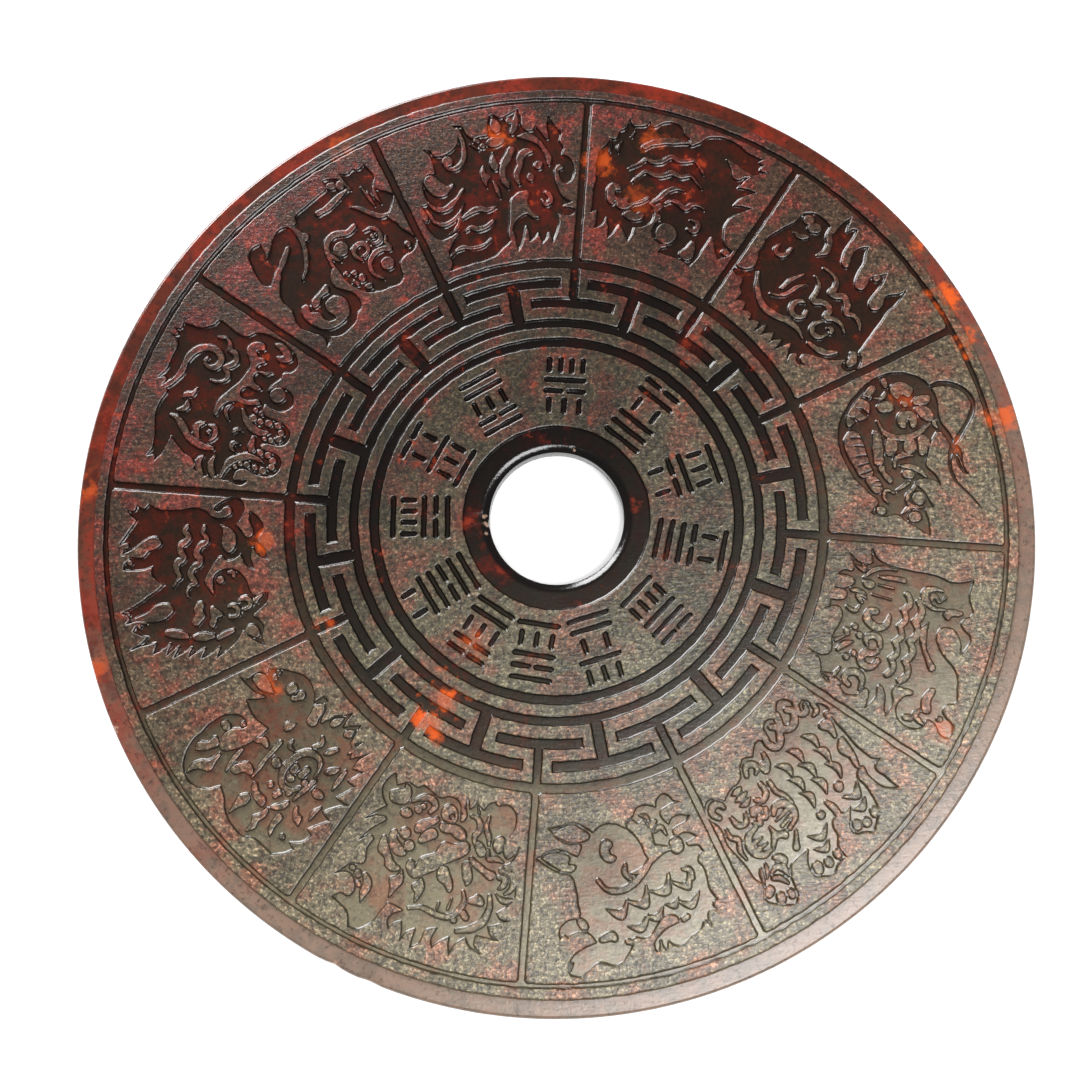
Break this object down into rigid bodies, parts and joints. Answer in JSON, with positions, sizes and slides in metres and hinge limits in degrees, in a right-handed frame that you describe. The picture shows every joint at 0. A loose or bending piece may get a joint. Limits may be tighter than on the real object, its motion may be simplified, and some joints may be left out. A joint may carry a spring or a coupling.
{
  "type": "carved stone bi disc",
  "caption": "Round flat stone disc with a central hole, carved in low relief with rings, a key fret, animal panels and rows of marks.",
  "frame": {"origin": "centre of the disc on its plain underside", "axes": "+Z out of the carved face, +X and +Y across the disc as the picture shows it, right and away"},
  "size_m": [0.23, 0.23, 0.0065],
  "materials": {
    "stone": "polished dark red-brown stone with a dull grey-brown patina on the raised parts"
  },
  "bodies": {
    "root": {"bi_disc": "stone"}
  },
  "joints": []
}
